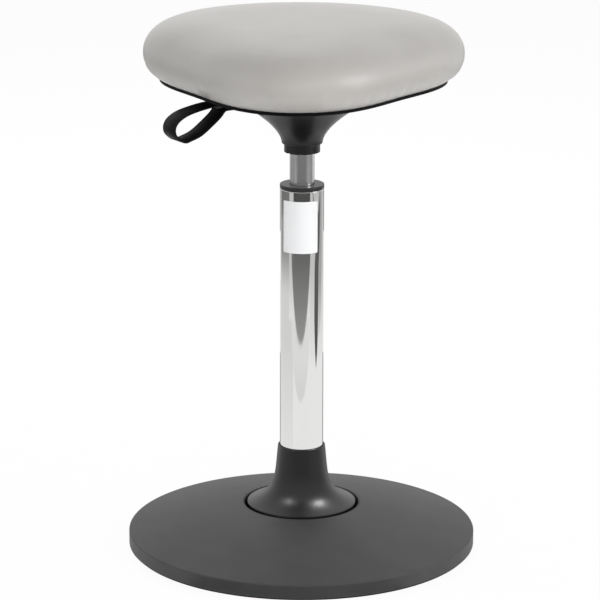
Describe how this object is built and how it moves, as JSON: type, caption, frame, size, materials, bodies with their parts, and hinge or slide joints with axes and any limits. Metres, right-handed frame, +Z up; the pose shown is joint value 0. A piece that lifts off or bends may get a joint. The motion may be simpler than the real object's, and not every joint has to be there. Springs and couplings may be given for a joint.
{
  "type": "perch stool",
  "caption": "Height-adjustable perch stool with a tilting column on a round weighted foot, an upholstered rounded-triangle seat and a pull strap that frees the gas lift.",
  "frame": {"origin": "centre of the foot's underside, on the floor, on the column's axis", "axes": "+Z up along the column, -Y to the seat's front corner, +X to the sitter's left as they face front"},
  "size_m": [0.4, 0.4, 0.618],
  "materials": {
    "foot_plastic": "matte",
    "black_plastic": "satin",
    "cap_plastic": "satin",
    "black_rubber": "matte",
    "black_steel": "satin",
    "zinc_steel": "satin",
    "bright_steel": "satin",
    "chrome": "polished",
    "brass": "satin",
    "bearing_plastic": "satin",
    "upholstery": "satin",
    "foam": "matte",
    "plywood": "matte",
    "strap_leather": "satin",
    "label_paper": "satin"
  },
  "bodies": {
    "base": {"base_cover": "foot_plastic", "weight_plate": "black_steel", "floor_pad": "black_rubber", "hub_cup": "black_steel", "plate_screw_1": "zinc_steel", "plate_screw_2": "zinc_steel", "plate_screw_3": "zinc_steel", "plate_screw_4": "zinc_steel", "hub_bolt_1": "zinc_steel", "hub_bolt_2": "zinc_steel", "hub_bolt_3": "zinc_steel", "hub_bolt_4": "zinc_steel"},
    "mount": {"rubber_mount": "black_rubber"},
    "column": {"column_socket": "black_steel", "column_tube": "chrome", "hub_cone": "black_plastic", "guide_bush": "bearing_plastic", "cap_ring": "cap_plastic", "tube_base": "zinc_steel", "bearing_washer_lower": "bright_steel", "column_label": "label_paper"},
    "cage": {"ball_cage": "brass"},
    "rod": {"piston_rod": "bright_steel", "rod_clip": "zinc_steel", "bearing_washer_upper": "bright_steel", "bump_ring": "black_rubber", "piston": "brass"},
    "seat": {"cylinder": "chrome", "pressure_tube": "bright_steel", "rod_gland": "bearing_plastic", "rod_seal": "black_rubber", "valve_body": "brass", "seat_housing": "black_steel", "collar_ring": "black_plastic", "trumpet_cover": "black_plastic", "seat_pan": "black_plastic", "seat_board": "plywood", "seat_foam": "foam", "seat_cover": "upholstery", "seat_screw_1": "zinc_steel", "seat_screw_2": "zinc_steel", "seat_screw_3": "zinc_steel", "seat_screw_4": "zinc_steel", "tee_nut_1": "zinc_steel", "tee_nut_2": "zinc_steel", "tee_nut_3": "zinc_steel", "tee_nut_4": "zinc_steel", "pan_screw_1": "black_steel", "pan_screw_2": "black_steel", "pan_screw_3": "black_steel", "lever_pin": "bright_steel"},
    "lever": {"release_lever": "black_steel", "pull_strap": "strap_leather", "strap_rivet": "bright_steel"},
    "valve": {"valve_pin": "bright_steel"}
  },
  "joints": [
    {"name": "tilt_sideways", "type": "hinge", "parent": "base", "child": "mount", "pos_m": [0, 0, 0.0305], "axis": [0, 1, 0], "range_deg": [-5, 5], "stiffness_Nm_per_rad": 500, "deforming": ["rubber_mount"]},
    {"name": "tilt_forward", "type": "hinge", "parent": "mount", "child": "column", "pos_m": [0, 0, 0.0305], "axis": [1, 0, 0], "range_deg": [-5, 5], "stiffness_Nm_per_rad": 500, "deforming": ["rubber_mount"]},
    {"name": "seat_swivel", "type": "hinge", "parent": "column", "child": "rod", "pos_m": [0, 0, 0.0725], "axis": [0, 0, 1], "continuous": true},
    {"name": "cage_roll", "type": "hinge", "parent": "column", "child": "cage", "pos_m": [0, 0, 0.0695], "axis": [0, 0, 1], "continuous": true},
    {"name": "seat_height", "type": "slide", "parent": "rod", "child": "seat", "axis": [0, 0, 1], "range_m": [0, 0.255]},
    {"name": "lever_pull", "type": "hinge", "parent": "seat", "child": "lever", "pos_m": [0.02063, 0.01583, 0.52155], "axis": [0.6088, -0.7934, 0], "range_deg": [0, 5], "stiffness_Nm_per_rad": 1.5, "springref_deg": -17.19},
    {"name": "valve_press", "type": "slide", "parent": "seat", "child": "valve", "axis": [0, 0, -1], "range_m": [0, 0.0023]}
  ],
  "couplings": [
    {"joint": "cage_roll", "follows": "seat_swivel", "ratio": 0.5},
    {"joint": "valve_press", "follows": "lever_pull", "m_per_rad": 0.026}
  ]
}
